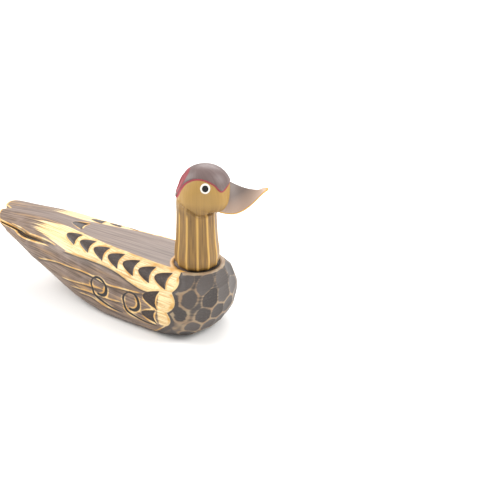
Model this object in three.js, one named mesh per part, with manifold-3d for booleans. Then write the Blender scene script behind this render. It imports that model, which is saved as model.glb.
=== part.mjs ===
// A carved wooden mandarin duck: one block of wood for the body, and a second carved
// piece, the neck with its head and bill, seated in a shallow round recess on the back.
// Millimetres. +X is forward, +Y is the duck's left, +Z is up. The origin lies on the
// flat underside, straight below the middle of the neck.

import * as THREE from 'three';
import { mergeVertices } from 'three/addons/utils/BufferGeometryUtils.js';
import Module from 'manifold-3d';

const { PI, sin, cos, sqrt, abs, min, max, hypot } = Math;

// Body. Sections are taken every so often behind the neck, at these distances.
const STATIONS = [0, 50, 100, 150, 203];
const BACK_Z = [58, 58.4, 57.8, 57.6, 52.4];
const HALF_WIDTH = [41, 39.6, 36.7, 32.6, 25.5];
const WIDEST_Z = [29, 29, 37, 43.5, 46.5];
const SHOULDER_TILT = [40, 26, 14, 13, 6];
const PANEL_STATIONS = [0, 35, 65, 95, 125, 203];
const PANEL_HALF = [21.8, 20.9, 18.2, 13.5, 8.5, 4];
const LIFT_STATIONS = [76, 100, 150, 203];
const LIFT_Z = [0, 4.6, 24, 42];
const FOOT_STATIONS = [11, 21, 50, 100, 150, 203];
const FOOT_HALF = [25, 25, 25.6, 23, 13, 9];
const FOOT_ARC_BACK = 21;
const FOOT_ARC_RADIUS = 25;
const BREAST_REACH = 26.5;
const BREAST_WIDEST_Z = 33;
const BREAST_WRAP = 54;
const PANEL_CROWN = 0.5;

// Tail: two rounded lobes with a notch between them, over a second layer of wood.
const TAIL_START = 150;
const TAIL_LENGTH = STATIONS.at(-1);
const LOBE_TIP = 204.5;
const LOBE_ROUNDING = 17.5;
const LOBE_SHOULDER = 7;
const LOBE_POWER = 2.6;
const NOTCH_HALF = 4.5;
const NOTCH_DEPTH = 8;
const LOWER_TIP = 200;
const LOWER_ROUNDING = 13;
const LOWER_POWER = 2.5;
const LOBE_THICKNESS = 5.5;
const LOBE_STEP = 0.3;
const TAIL_SKEW = 9;

// Recess for the neck, and the clearance all round it.
const NECK_RADIUS = 17.8;
const RECESS_RADIUS = 18.9;
const RECESS_DEPTH = 1.6;
const RECESS_SIDES = 36;
const SEAT_GAP = 0.3;

// Gouge cuts along each wing, one for each small scale feather. A cut's two front points
// lie at its distance behind the neck, and its reach is from there to its rounded tip.
const SCALE_COUNT = 7;
const SCALE_PITCH = 16.4;
const FIRST_SCALE = 7.2;
const SCALE_REACH = 16.2;
const SCALE_BITE = 4.9;
const SCALE_HALF = [8.5, 7];
const SCALE_DOWN = [13, 8.6];
const BIG_GOUGES = [
    { at: 7.4, down: 29.5, half: 8, reach: 18.2, bite: 5.2 },
    { at: 10.6, down: 44.6, half: 6.9, reach: 16.4, bite: 4.7 },
];
const PANEL_GOUGE = { at: 122.5, down: 0, half: 6.2, reach: 13.8, bite: 3 };
const GOUGE_DEPTH = 2.2;
const GOUGE_SHALLOW = 0.25;
const GOUGE_CLEAR = 1.4;
const GOUGE_ROUND_ABOVE = 2.7;
const GOUGE_ROUND_BELOW = 2;

// The two engraved curls on each side: centre of the loop, its size and where it runs
// from and to in degrees, and the stem that leaves it, along and down from that centre.
const CURLS = [{ at: 71.5, down: 37 }, { at: 37.5, down: 37.6 }];
const CURL_LOOP = 8;
const CURL_LOOP_HEIGHT = 7.6;
const CURL_LOOP_POINTS = 9;
const CURL_LOOP_FROM = 85;
const CURL_LOOP_TO = 385;
const CURL_STEM = [[5, 10.5], [-4, 14], [-14, 15.6], [-25, 15.4]];
const CURL_WIDTH = 2.8;
const CURL_DEPTH = 1.1;

// Steps between the long feathers of the wing, as points along and down the side.
const FEATHER_STEPS = [
    { path: [[141, 42.5], [116, 35.6], [88, 31.6], [60, 31.6], [34, 29.2], [24, 28]], width: 2, depth: 0.9 },
    { path: [[116, 49], [96, 45.2], [82, 42], [66, 38.6]], width: 2, depth: 0.8 },
    { path: [[101, 55], [81, 48.6], [62, 45.6], [46, 42.4]], width: 2, depth: 0.8 },
    { path: [[124, 24.6], [104, 22.6], [86, 20.4], [58, 19.4]], width: 1.8, depth: 0.6 },
];
const LOBE_GROOVE = {
    path: [[198, 22.6], [190, 23.6], [180, 24.4], [164, 25], [148, 25.2], [126, 24.2]],
    width: 5.2,
    depth: 4.4,
};
const STRIP_LINE = [[118, 7.6], [140, 6.4], [165, 5.4], [190, 4]];
const STRIP_WIDTH = 1.2;
const STRIP_DEPTH = 0.5;

// Where the wing's three big scale feathers end at the breast, along and down the side.
const WING_FRONT = [[-1, 2], [-1.5, 10.5], [-5, 14.5], [-3, 22], [-7, 29.5], [-0.5, 39], [-2.5, 49]];
const WING_FRONT_WIDTH = 2.4;
const WING_FRONT_DEPTH = 0.8;

// How a cut with the V-tool starts and ends, and how far it reaches clear of the wood.
const GROOVE_CLEAR = 0.5;
const GROOVE_END_SHARE = 0.03;
const GROOVE_RUN_OUT = 3;
const LOOK_AHEAD = 0.01;

// Flats left by the knife on the breast: millimetres down from the rim, and degrees
// round from straight ahead.
const FLATS_ON_EACH_SIDE = [
    [8, 71], [9, 38], [20.5, 67], [27, 42], [38, 75], [40, 50], [38, 23], [52, 70], [51, 40], [52, 13],
];
const FLATS_IN_FRONT = [[4, 0], [15, 4], [26, -4]];
const FLAT_DEPTH = 1.4;
const FLAT_HALF = 15;
const FLAT_SLAB = 8;

// Neck: twelve knife-cut sides, its radius at each height above the flat underside.
const NECK_SIDES = 12;
const NECK_RIDGE_TURN = 3;
const NECK_PROFILE = [
    [15.2, 56.7], [17, 58.6], [NECK_RADIUS, 62.5], [16.8, 81],
    [16, 100], [15.9, 113], [14.6, 122], [10, 131],
];

// Head, turned to the duck's left over the body.
const HEAD_TURN = 34;
const HEAD_CENTRE = [7, 122];
const HEAD_LENGTH = 20;
const HEAD_HALF = 16.6;
const HEAD_RISE = 19.7;
const HEAD_DROP = 17.2;
const CHEEK_SQUARENESS = 3.4;
const CROWN_SQUARENESS = 2.1;
const CROWN_BLEND = 0.4;
const CAP_STEP = 1.1;
const CAP_EDGE = [
    [28, 130], [24.5, 128], [20.8, 125.8], [14, 131.8], [8.6, 134.6], [3.8, 135.6],
    [-2.4, 134.6], [-7.6, 131.2], [-11.6, 125.4], [-14, 119.6], [-17.6, 111],
];
const JAW_LINE = [[-11, 112.5], [-5, 109.6], [2, 105.4], [9, 105.2], [15, 106.4]];
const JAW_RADIUS = 15.8;
const JAW_WIDTH = 2.6;
const JAW_DEPTH = 1.5;
const JAW_REACH = 15.3;

// Bill: half width, rim height and ridge height at each distance forward.
const BILL_STATIONS = [10, 17, 24, 31, 37, 42, 47, 52, 56.4];
const BILL_HALF = [9, 11.2, 13, 13.5, 12.5, 10.8, 8.2, 4.8, 0.9];
const BILL_RIM_Z = [108.4, 107, 106.1, 106.3, 108.6, 111.5, 115.4, 119.4, 121.6];
const BILL_RIDGE_Z = [131, 130.4, 129.6, 126.2, 123.6, 122.2, 121.6, 121.6, 122.2];
const BILL_FLANK = [0.45, 0.5, 0.7, 1.1, 1.35, 1.4, 1.3, 1.2, 1];
const BILL_ROUND = [2.6, 2.4, 1.7, 1.15, 1, 1, 1, 1, 1];
const BILL_EDGE = 1.2;
const BILL_KEEL = 0.8;
const BILL_UNDER = [0.94, 0.5, 0, -0.5, -0.94];

// How finely the curved surfaces are faceted.
const SIDE_STEPS = 34;
const BREAST_STEPS = 8;
const FALL_STEPS = 5;
const GROOVE_STEPS = 6;
const CURL_STEPS = 14;
const GOUGE_STEPS = 4;
const HEAD_AROUND = 24;
const HEAD_UP = 14;
const BILL_ACROSS = 4;

// Colours of the stained and rubbed wood.
const BODY_COLOUR = 0x8a6b4c;
const HEAD_COLOUR = 0x9a7a42;
const WOOD_ROUGHNESS = 0.6;

// Corners closer than this are one corner.
const SAME_POINT = 1e-4;

// How finely a length is measured down the skin, and how far apart its slope is taken.
const SKIN_STEPS = 60;
const SKIN_REACH = 0.4;

const wasm = await Module();
wasm.setup();

const radians = (degrees) => (degrees * PI) / 180;
const clamp01 = (value) => min(max(value, 0), 1);
const ease = (from, to, value) => {
    const t = clamp01((value - from) / (to - from));
    return t * t * (3 - 2 * t);
};

// A smooth curve through a value at each station.
function along(position, stations, values) {
    const last = stations.length - 1;
    const place = min(max(position, stations[0]), stations[last]);
    let i = 0;
    while (i < last - 1 && place > stations[i + 1]) i += 1;
    const step = (k) => stations[k + 1] - stations[k];
    const slope = (k) => (values[k + 1] - values[k]) / step(k);
    const tangent = (k) => {
        if (k === 0) return slope(0);
        if (k === last) return slope(last - 1);
        return (slope(k - 1) * step(k) + slope(k) * step(k - 1)) / (step(k) + step(k - 1));
    };
    const span = step(i);
    const t = (place - stations[i]) / span;
    return values[i] * (1 + 2 * t) * (1 - t) ** 2 + tangent(i) * span * t * (1 - t) ** 2
        + values[i + 1] * t * t * (3 - 2 * t) - tangent(i + 1) * span * t * t * (1 - t);
}

// Turns a list of triangles into a solid whose shared corners are merged.
function solidFromTriangles(corners) {
    const geometry = new THREE.BufferGeometry();
    geometry.setAttribute('position', new THREE.Float32BufferAttribute(corners.flat(2), 3));
    return solidFromGeometry(geometry);
}

function solidFromGeometry(source) {
    const geometry = source.index ? source.toNonIndexed() : source.clone();
    geometry.deleteAttribute('normal');
    geometry.deleteAttribute('uv');
    const merged = mergeVertices(geometry, SAME_POINT);
    const index = Array.from(merged.index.array);
    const kept = [];
    for (let i = 0; i < index.length; i += 3) {
        const [a, b, c] = index.slice(i, i + 3);
        if (a !== b && b !== c && c !== a) kept.push(a, b, c);
    }
    const mesh = new wasm.Mesh({
        numProp: 3,
        vertProperties: new Float32Array(merged.attributes.position.array),
        triVerts: new Uint32Array(kept),
    });
    return new wasm.Manifold(mesh);
}

function geometryFromSolid(solid) {
    const { vertProperties, triVerts } = solid.getMesh();
    const geometry = new THREE.BufferGeometry();
    geometry.setAttribute('position', new THREE.BufferAttribute(new Float32Array(vertProperties), 3));
    geometry.setIndex(new THREE.BufferAttribute(new Uint32Array(triVerts), 1));
    geometry.computeVertexNormals();
    return geometry;
}

// Two triangles for each cell of a grid of points; `turned` reverses their order.
function gridTriangles(rows, turned) {
    const triangles = [];
    for (let i = 0; i + 1 < rows.length; i += 1) {
        for (let j = 0; j + 1 < rows[i].length; j += 1) {
            const [a, b, c, d] = [rows[i][j], rows[i + 1][j], rows[i + 1][j + 1], rows[i][j + 1]];
            if (turned) triangles.push([a, c, b], [a, d, c]);
            else triangles.push([a, b, c], [a, c, d]);
        }
    }
    return triangles;
}

// Body form

function footHalf(back) {
    if (back < FOOT_ARC_BACK) return sqrt(FOOT_ARC_RADIUS ** 2 - (FOOT_ARC_BACK - back) ** 2);
    return along(back, FOOT_STATIONS, FOOT_HALF);
}

function liftZ(back) {
    return back > LIFT_STATIONS[0] ? along(back, LIFT_STATIONS, LIFT_Z) : 0;
}

function section(back) {
    return {
        panel: along(back, PANEL_STATIONS, PANEL_HALF),
        top: along(back, STATIONS, BACK_Z),
        half: along(back, STATIONS, HALF_WIDTH),
        widest: along(back, STATIONS, WIDEST_Z),
        foot: footHalf(back),
        low: liftZ(back),
        tilt: radians(along(back, STATIONS, SHOULDER_TILT)),
    };
}

// Rounded tail end in plan: the upper layer has the lobes and the notch.
function tailEnd(sideways, upper) {
    const half = HALF_WIDTH.at(-1);
    if (!upper) return LOWER_TIP - LOWER_ROUNDING * (sideways / half) ** LOWER_POWER;
    if (sideways < NOTCH_HALF) return LOBE_TIP - NOTCH_DEPTH * (1 - sideways / NOTCH_HALF);
    const outward = clamp01((sideways - LOBE_SHOULDER) / (half - LOBE_SHOULDER));
    return LOBE_TIP - LOBE_ROUNDING * outward ** LOBE_POWER;
}

// Puts a point of the straight form in its place on the carved, slightly skewed one.
function carved(x, sideways, z, side, upper) {
    let back = -x;
    if (back > TAIL_START) {
        const share = (back - TAIL_START) / (TAIL_LENGTH - TAIL_START);
        back = TAIL_START + share * (tailEnd(abs(sideways), upper) - TAIL_START);
        back += (TAIL_SKEW * share * share * side * sideways) / HALF_WIDTH.at(-1);
    }
    return [-back, side * sideways, z];
}

// A point of the side: `back` runs from the tail to the neck and, below zero, round the
// breast; `fall` is 0 at the panel's rim, 1 at the widest line and 2 at the underside.
function sidePoint(back, fall, side) {
    const s = section(max(back, 0));
    const front = back < 0;
    const turn = front ? (1 + back / BREAST_WRAP) * (PI / 2) : PI / 2;
    const share = sin(turn) ** 2;
    let { half, widest } = s;
    if (front) {
        half = (BREAST_REACH * half) / hypot(half * cos(turn), BREAST_REACH * sin(turn));
        widest = widest * share + BREAST_WIDEST_Z * (1 - share);
    }
    const upper = s.tilt + clamp01(fall) * (PI / 2 - s.tilt);
    const lower = clamp01(fall - 1) * (PI / 2);
    const out = (sin(upper) - sin(s.tilt)) / (1 - sin(s.tilt));
    const inward = 1 - cos(lower);
    const reach = s.panel + (half - s.panel) * out;
    const z = fall <= 1
        ? widest + ((s.top - widest) * cos(upper)) / cos(s.tilt)
        : s.low + (widest - s.low) * (1 - sin(lower));
    if (!front) {
        const sideways = fall <= 1 ? reach : s.foot + (half - s.foot) * (1 - inward);
        return carved(-back, sideways, z, side, fall <= 1);
    }
    const arc = Math.acos(FOOT_ARC_BACK / FOOT_ARC_RADIUS) * (turn / (PI / 2));
    const foot = [FOOT_ARC_RADIUS * cos(arc) - FOOT_ARC_BACK, FOOT_ARC_RADIUS * sin(arc)];
    const x = reach * cos(turn) * (1 - inward) + foot[0] * inward;
    const y = reach * sin(turn) * (1 - inward) + foot[1] * inward;
    return [x, side * y, z];
}

// The same surface by real lengths: `down` millimetres from the rim along the section.
function skinPoint(back, down, side) {
    let length = 0;
    let before = sidePoint(back, 0, side);
    for (let k = 1; k <= SKIN_STEPS; k += 1) {
        const next = sidePoint(back, (2 * k) / SKIN_STEPS, side);
        const piece = hypot(next[0] - before[0], next[1] - before[1], next[2] - before[2]);
        if (length + piece >= down || k === SKIN_STEPS) {
            return sidePoint(back, (2 * (k - 1 + (down - length) / piece)) / SKIN_STEPS, side);
        }
        length += piece;
        before = next;
    }
    return before;
}

// The point there, and the direction straight out of the wood.
function skinFrame(back, down, side) {
    const reach = SKIN_REACH;
    const at = new THREE.Vector3(...skinPoint(back, down, side));
    const lengthways = new THREE.Vector3(...skinPoint(back + reach, down, side))
        .sub(new THREE.Vector3(...skinPoint(back - reach, down, side)));
    const downwards = new THREE.Vector3(...skinPoint(back, down + reach, side))
        .sub(new THREE.Vector3(...skinPoint(back, max(down - reach, 0), side)));
    const out = lengthways.cross(downwards).normalize().multiplyScalar(-side);
    return { at, out };
}

function bodyForm() {
    const backs = [];
    for (let k = 0; k <= SIDE_STEPS; k += 1) backs.push(TAIL_LENGTH * (1 - k / SIDE_STEPS));
    const fronts = [];
    for (let k = 1; k <= BREAST_STEPS; k += 1) fronts.push((-BREAST_WRAP * k) / BREAST_STEPS);
    const falls = [];
    for (let k = 0; k <= 2 * FALL_STEPS; k += 1) falls.push(k / FALL_STEPS);
    const triangles = [];
    for (const side of [-1, 1]) {
        const rows = [...backs, ...fronts].map((back) => falls.map((fall) => sidePoint(back, fall, side)));
        triangles.push(...gridTriangles(rows, side < 0));
    }
    const across = [-1, -0.5, 0, 0.5, 1];
    const panelRow = (back) => across.map((share) => {
        const s = section(back);
        const z = s.top + (abs(share) < 1 ? PANEL_CROWN * (1 - share * share) : 0);
        return carved(-back, s.panel * abs(share), z, share < 0 ? -1 : 1, true);
    });
    const soleRow = (back) => across.map((share) => {
        const s = section(back);
        return carved(-back, s.foot * abs(share), s.low, share < 0 ? -1 : 1, false);
    });
    triangles.push(...gridTriangles(backs.map(panelRow), false));
    triangles.push(...gridTriangles(backs.map(soleRow), true));
    const rings = [0, 0.5, 1];
    for (const side of [-1, 1]) {
        const spokes = [0, ...fronts];
        const topRows = spokes.map((back) => rings.map((share) => {
            const [x, y, z] = sidePoint(back, 0, side);
            return [x * share, y * share, share < 1 ? z + PANEL_CROWN * (1 - share * share) : z];
        }));
        const soleRows = spokes.map((back) => rings.map((share) => {
            const [x, y, z] = sidePoint(back, 2, side);
            return [x * share, y * share, z];
        }));
        triangles.push(...gridTriangles(topRows, side < 0));
        triangles.push(...gridTriangles(soleRows, side > 0));
    }
    triangles.push(...tailCap(falls, across));
    return solidFromTriangles(triangles);
}

// Closes the tail end: lobe edge, the step under it, and the end of the lower layer.
function tailCap(falls, across) {
    const upperFalls = falls.filter((fall) => fall <= 1);
    const s = section(TAIL_LENGTH);
    const upperLine = [];
    const lowerLine = [];
    const add = (fall, side) => {
        upperLine.push(sidePoint(TAIL_LENGTH, fall, side));
        lowerLine.push(sidePoint(TAIL_LENGTH, 2 - fall, side));
    };
    upperFalls.toReversed().forEach((fall) => add(fall, -1));
    for (const share of across.slice(1, -1)) {
        const side = share < 0 ? -1 : 1;
        const crown = s.top + PANEL_CROWN * (1 - share * share);
        upperLine.push(carved(-TAIL_LENGTH, s.panel * abs(share), crown, side, true));
        lowerLine.push(carved(-TAIL_LENGTH, s.foot * abs(share), s.low, side, false));
    }
    upperFalls.forEach((fall) => add(fall, 1));
    const halfway = (z, k) => (z + lowerLine[k][2]) / 2;
    const stepUp = upperLine.map(([x, y, z], k) => [x, y, max(z - LOBE_THICKNESS, halfway(z, k))]);
    const stepIn = stepUp.map(([, y, z], k) => [lowerLine[k][0], y, z - LOBE_STEP]);
    const ends = [0, upperLine.length - 1];
    for (const k of ends) {
        stepUp[k] = upperLine[k];
        stepIn[k] = upperLine[k];
    }
    return gridTriangles([upperLine, stepUp, stepIn, lowerLine], true);
}

// Cuts in the body

// A short prism that follows the skin: its rim stands clear of the wood, and its floor
// goes to the given depth at each corner.
function skinPrism(outline, frameAt) {
    const frames = outline.map(([back, down]) => frameAt(back, down));
    const top = frames.map(({ at, out }) => at.clone().addScaledVector(out, GOUGE_CLEAR).toArray());
    const floor = frames.map(({ at, out }, k) => at.clone().addScaledVector(out, -outline[k][2]).toArray());
    return prismSolid(top, floor, outline.map(([back, down]) => new THREE.Vector2(back, down)));
}

function prismSolid(top, floor, flat) {
    const faces = THREE.ShapeUtils.triangulateShape(flat, []);
    const triangles = [];
    for (const [a, b, c] of faces) {
        triangles.push([top[a], top[b], top[c]], [floor[a], floor[c], floor[b]]);
    }
    for (let k = 0; k < top.length; k += 1) {
        const next = (k + 1) % top.length;
        triangles.push([top[k], floor[k], floor[next]], [top[k], floor[next], top[next]]);
    }
    return rightWayOut(triangles);
}

// A solid from triangles that may all face inwards.
function rightWayOut(triangles) {
    let volume = 0;
    for (const [a, b, c] of triangles) {
        volume += new THREE.Vector3(...a).dot(new THREE.Vector3(...b).cross(new THREE.Vector3(...c)));
    }
    return solidFromTriangles(volume > 0 ? triangles : triangles.map(([a, b, c]) => [a, c, b]));
}

// Outline of one gouge cut: a rounded point towards the tail, hollowed in front by the
// round tip of the scale that lies over it. Each corner has its depth.
function gougeOutline({ at, down, half, reach, bite }) {
    const radius = (half * half + bite * bite) / (2 * bite);
    const outline = [];
    for (let k = -GOUGE_STEPS; k <= GOUGE_STEPS; k += 1) {
        const share = k / GOUGE_STEPS;
        const roundness = share < 0 ? GOUGE_ROUND_ABOVE : GOUGE_ROUND_BELOW;
        outline.push([at + reach * (1 - abs(share) ** roundness), down + half * share, GOUGE_SHALLOW]);
    }
    for (let k = GOUGE_STEPS - 2; k > -GOUGE_STEPS + 1; k -= 1) {
        const offset = (half * k) / (GOUGE_STEPS - 1);
        const hollow = sqrt(radius * radius - offset * offset) - (radius - bite);
        outline.push([at + hollow, down + offset, GOUGE_DEPTH]);
    }
    return outline;
}

// A V-shaped cut along a curve on the skin. It narrows to nothing at both ends, or only
// at its last end where it starts in the end of the wood.
function groove(points, width, depth, steps, frameAt, openEnd = false) {
    const curve = new THREE.CatmullRomCurve3(points.map(([a, b]) => new THREE.Vector3(a, b, 0)));
    const sections = [];
    for (let k = 0; k <= steps; k += 1) {
        const t = k / steps;
        const spot = curve.getPoint(t);
        const { at, out } = frameAt(spot.x, spot.y);
        const ahead = curve.getPoint(min(t + LOOK_AHEAD, 1));
        const behind = curve.getPoint(max(t - LOOK_AHEAD, 0));
        const tangent = frameAt(ahead.x, ahead.y).at.sub(frameAt(behind.x, behind.y).at).normalize();
        const across = new THREE.Vector3().crossVectors(out, tangent).normalize();
        const fade = openEnd ? 1 - t : 1 - (2 * t - 1) ** 4;
        const taper = sqrt(max(fade, GROOVE_END_SHARE));
        const spread = (width / 2) * taper * (1 + GROOVE_CLEAR / (depth * taper + GROOVE_CLEAR));
        sections.push([
            at.clone().addScaledVector(across, spread).addScaledVector(out, GROOVE_CLEAR).toArray(),
            at.clone().addScaledVector(out, -depth * taper).toArray(),
            at.clone().addScaledVector(across, -spread).addScaledVector(out, GROOVE_CLEAR).toArray(),
        ]);
    }
    if (openEnd) {
        const next = sections[1];
        const runOut = (p, k) => p.map((value, axis) => value + GROOVE_RUN_OUT * (value - next[k][axis]));
        sections.unshift(sections[0].map(runOut));
    }
    const rows = sections.map(([a, b, c]) => [a, b, c, a]);
    const last = sections.at(-1);
    const triangles = gridTriangles(rows, false);
    triangles.push([sections[0][0], sections[0][1], sections[0][2]], [last[0], last[2], last[1]]);
    return rightWayOut(triangles);
}

// One engraved curl: a loop, then the stem that leaves it.
function curlPath({ at, down }) {
    const points = [];
    for (let k = 0; k <= CURL_LOOP_POINTS; k += 1) {
        const share = k / CURL_LOOP_POINTS;
        const angle = radians(CURL_LOOP_FROM + (CURL_LOOP_TO - CURL_LOOP_FROM) * share);
        points.push([at + CURL_LOOP * cos(angle), down + CURL_LOOP_HEIGHT * sin(angle)]);
    }
    return [...points, ...CURL_STEM.map(([a, d]) => [at + a, down + d])];
}

// A slab that takes one flat facet off the breast.
function breastFlat(down, degrees) {
    const back = -BREAST_WRAP * (1 - abs(degrees) / 90);
    const { at, out } = skinFrame(back, down, degrees < 0 ? -1 : 1);
    const slab = new THREE.BoxGeometry(2 * FLAT_HALF, 2 * FLAT_HALF, FLAT_SLAB);
    const turn = new THREE.Quaternion().setFromUnitVectors(new THREE.Vector3(0, 0, 1), out);
    slab.applyQuaternion(turn);
    slab.translate(...at.addScaledVector(out, FLAT_SLAB / 2 - FLAT_DEPTH).toArray());
    return solidFromGeometry(slab);
}

function panelFrame(back, sideways) {
    const z = section(back).top;
    return { at: new THREE.Vector3(-back, sideways, z), out: new THREE.Vector3(0, 0, 1) };
}

function carveBody() {
    const cuts = [];
    for (const side of [-1, 1]) {
        const onSide = (back, down) => skinFrame(back, down, side);
        for (let k = 0; k < SCALE_COUNT; k += 1) {
            const share = k / (SCALE_COUNT - 1);
            const scale = {
                at: FIRST_SCALE + SCALE_PITCH * k,
                down: SCALE_DOWN[0] + (SCALE_DOWN[1] - SCALE_DOWN[0]) * share,
                half: SCALE_HALF[0] + (SCALE_HALF[1] - SCALE_HALF[0]) * share,
                reach: SCALE_REACH,
                bite: SCALE_BITE,
            };
            cuts.push(skinPrism(gougeOutline(scale), onSide));
        }
        for (const gouge of BIG_GOUGES) cuts.push(skinPrism(gougeOutline(gouge), onSide));
        for (const { path, width, depth } of FEATHER_STEPS) {
            cuts.push(groove(path, width, depth, GROOVE_STEPS, onSide));
        }
        const { path, width, depth } = LOBE_GROOVE;
        cuts.push(groove(path, width, depth, GROOVE_STEPS, onSide, true));
        cuts.push(groove(WING_FRONT, WING_FRONT_WIDTH, WING_FRONT_DEPTH, 2 * GROOVE_STEPS, onSide));
        for (const curl of CURLS) {
            cuts.push(groove(curlPath(curl), CURL_WIDTH, CURL_DEPTH, CURL_STEPS, onSide));
        }
        const strip = STRIP_LINE.map(([back, sideways]) => [back, side * sideways]);
        cuts.push(groove(strip, STRIP_WIDTH, STRIP_DEPTH, GROOVE_STEPS, panelFrame));
    }
    cuts.push(skinPrism(gougeOutline(PANEL_GOUGE), panelFrame));
    for (const [down, degrees] of FLATS_ON_EACH_SIDE) {
        cuts.push(breastFlat(down, -degrees), breastFlat(down, degrees));
    }
    for (const [down, degrees] of FLATS_IN_FRONT) cuts.push(breastFlat(down, degrees));
    const recess = new THREE.CylinderGeometry(RECESS_RADIUS, RECESS_RADIUS, 4 * RECESS_DEPTH, RECESS_SIDES);
    recess.rotateX(PI / 2);
    recess.translate(0, 0, BACK_Z[0] + RECESS_DEPTH);
    cuts.push(solidFromGeometry(recess));
    return cuts.reduce((wood, cut) => wood.subtract(cut), bodyForm());
}

// Head, neck and bill, in the head's own directions: x along the bill, z up.

function headForm(grow) {
    const ball = new THREE.SphereGeometry(1, HEAD_AROUND, HEAD_UP);
    ball.rotateX(PI / 2);
    const place = ball.attributes.position;
    for (let k = 0; k < place.count; k += 1) {
        const d = new THREE.Vector3().fromBufferAttribute(place, k).normalize();
        const crown = ease(-CROWN_BLEND, CROWN_BLEND, d.z);
        const power = CHEEK_SQUARENESS + (CROWN_SQUARENESS - CHEEK_SQUARENESS) * crown;
        const height = (d.z > 0 ? HEAD_RISE : HEAD_DROP) + grow;
        const sum = abs(d.x / (HEAD_LENGTH + grow)) ** power + abs(d.y / (HEAD_HALF + grow)) ** power
            + abs(d.z / height) ** power;
        d.multiplyScalar(sum ** (-1 / power));
        place.setXYZ(k, HEAD_CENTRE[0] + d.x, d.y, HEAD_CENTRE[1] + d.z);
    }
    return solidFromGeometry(ball);
}

function neckForm() {
    const [lowR, lowZ] = NECK_PROFILE[0];
    const [highR, highZ] = NECK_PROFILE.at(-1);
    const profile = [[0, lowZ], [lowR, lowZ], ...NECK_PROFILE.slice(1, -1), [highR, highZ], [0, highZ]];
    const neck = new THREE.LatheGeometry(profile.map(([r, z]) => new THREE.Vector2(r, z)), NECK_SIDES);
    neck.rotateX(PI / 2);
    neck.rotateZ(radians(NECK_RIDGE_TURN));
    return solidFromGeometry(neck);
}

// Everything above the cap's edge, seen from the side and cut straight through.
function capRegion() {
    const clear = 2 * HEAD_LENGTH;
    const top = HEAD_CENTRE[1] + clear;
    const [front, back] = [CAP_EDGE[0], CAP_EDGE.at(-1)];
    const outline = [
        ...CAP_EDGE, [back[0] - clear, back[1]], [back[0] - clear, top],
        [front[0] + clear, top], [front[0] + clear, front[1]],
    ];
    const shape = new THREE.Shape(outline.map(([x, z]) => new THREE.Vector2(x, z)));
    const region = new THREE.ExtrudeGeometry(shape, { depth: 2 * clear, bevelEnabled: false });
    region.translate(0, 0, -clear);
    region.rotateX(PI / 2);
    return solidFromGeometry(region);
}

function billForm() {
    const rows = BILL_STATIONS.map((forward, i) => {
        const rim = BILL_RIM_Z[i] + BILL_EDGE;
        const over = [];
        for (let k = -BILL_ACROSS; k <= BILL_ACROSS; k += 1) {
            const share = abs(k) / BILL_ACROSS;
            const z = rim + (BILL_RIDGE_Z[i] - rim) * (1 - share ** BILL_ROUND[i]) ** BILL_FLANK[i];
            over.push([forward, (BILL_HALF[i] * k) / BILL_ACROSS, z]);
        }
        const under = BILL_UNDER.map((share) => {
            const z = BILL_RIM_Z[i] - BILL_KEEL * (1 - share * share);
            return [forward, BILL_HALF[i] * share, z];
        });
        const ring = [...over, ...under];
        return [...ring, ring[0]];
    });
    const triangles = gridTriangles(rows, false);
    for (const [row, turned] of [[rows[0], false], [rows.at(-1), true]]) {
        const middle = [row[0][0], 0, (row[BILL_ACROSS][2] + row[2 * BILL_ACROSS + 1][2]) / 2];
        for (let k = 0; k + 1 < row.length; k += 1) {
            triangles.push(turned ? [middle, row[k + 1], row[k]] : [middle, row[k], row[k + 1]]);
        }
    }
    return rightWayOut(triangles);
}

// The jaw line: a cut round the lower edge of each cheek, on the neck's surface.
function jawFrame(side) {
    return (forward, z) => {
        const reach = Math.sign(forward) * min(abs(forward), JAW_REACH);
        const out = new THREE.Vector3(reach, side * sqrt(JAW_RADIUS ** 2 - reach ** 2), 0).normalize();
        return { at: new THREE.Vector3(out.x * JAW_RADIUS, out.y * JAW_RADIUS, z), out };
    };
}

function carveHead() {
    const cap = headForm(CAP_STEP).intersect(capRegion());
    let wood = headForm(0).add(neckForm()).add(cap).add(billForm());
    for (const side of [-1, 1]) {
        wood = wood.subtract(groove(JAW_LINE, JAW_WIDTH, JAW_DEPTH, GROOVE_STEPS, jawFrame(side)));
    }
    return wood;
}

function piece(name, solid, color) {
    const mesh = new THREE.Mesh(
        geometryFromSolid(solid),
        new THREE.MeshStandardMaterial({ color, roughness: WOOD_ROUGHNESS, metalness: 0 }),
    );
    mesh.name = name;
    return mesh;
}

const duck = new THREE.Group();
duck.add(piece('body', carveBody(), BODY_COLOUR));
const head = piece('head_and_neck', carveHead(), HEAD_COLOUR);
head.rotation.z = radians(HEAD_TURN);
duck.add(head);

export default duck;
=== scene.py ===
"""A carved wooden mandarin duck: a body from one block of wood, and a neck with its head
and bill, seated in the back. +X is forward, +Y is the duck's left, +Z is up."""

import math

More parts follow.
